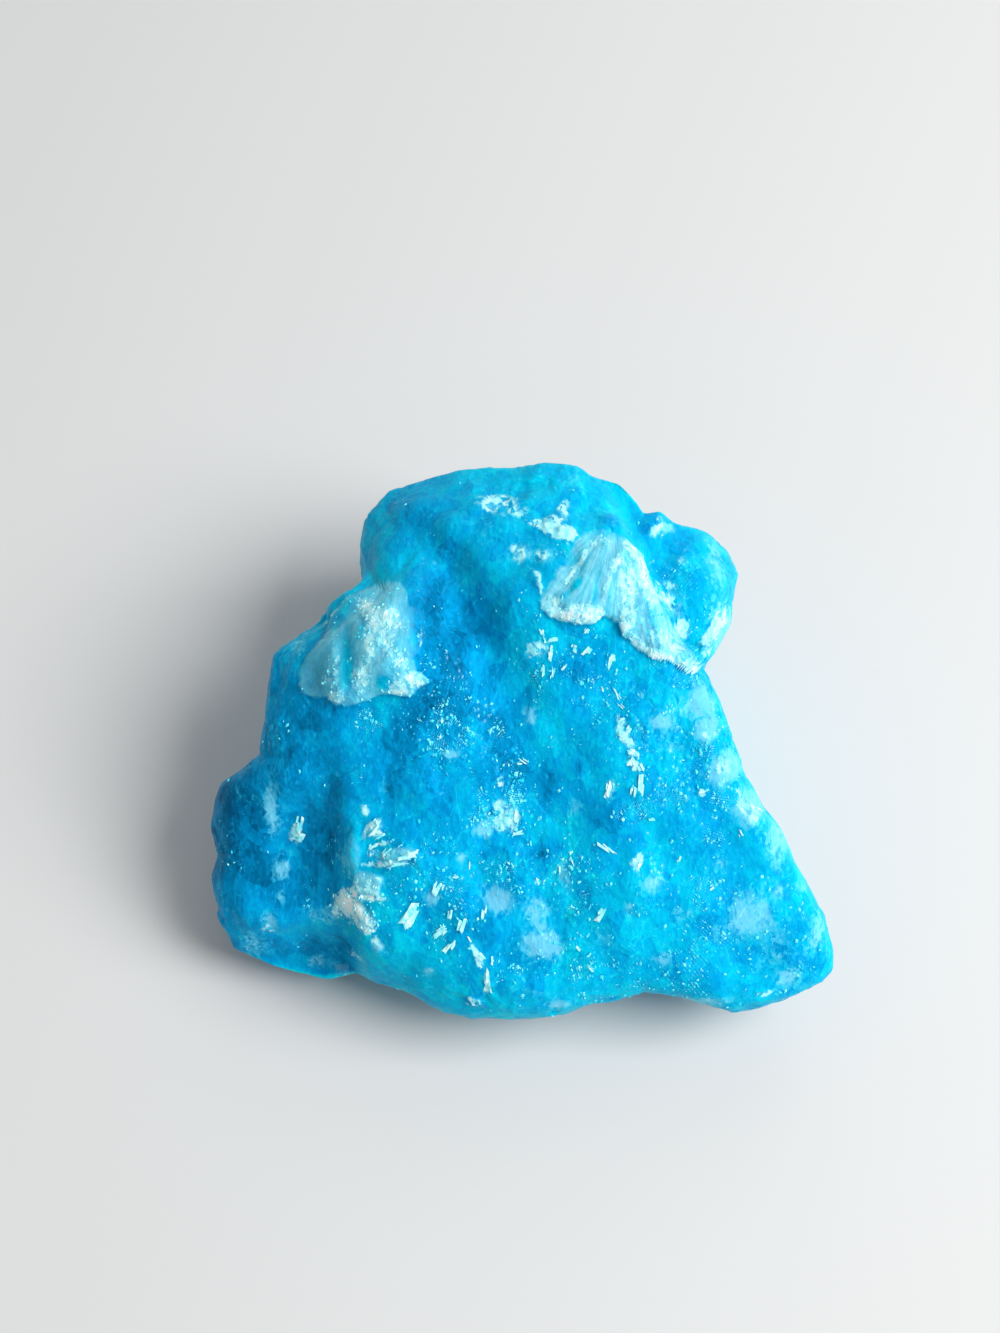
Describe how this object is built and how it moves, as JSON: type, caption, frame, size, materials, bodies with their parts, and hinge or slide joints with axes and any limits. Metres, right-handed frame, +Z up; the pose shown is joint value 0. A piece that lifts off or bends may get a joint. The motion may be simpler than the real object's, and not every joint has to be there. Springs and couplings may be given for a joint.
{
  "type": "hemimorphite mineral specimen",
  "caption": "Rough chunk of translucent sky blue hemimorphite with crusts of white radiating fibres, lying on a flat broken face.",
  "frame": {"origin": "on the surface the stone lies on, under the middle of its bounding box", "axes": "+Z up; +X to the right and -Y towards someone who looks at the broad sloping face"},
  "size_m": [0.0322, 0.029, 0.0162],
  "materials": {
    "blue_mineral": "translucent sugary mineral, waxy to glassy, pale cloudy patches and white silky fibre crusts"
  },
  "bodies": {
    "root": {"hemimorphite_mass": "blue_mineral"}
  },
  "joints": []
}
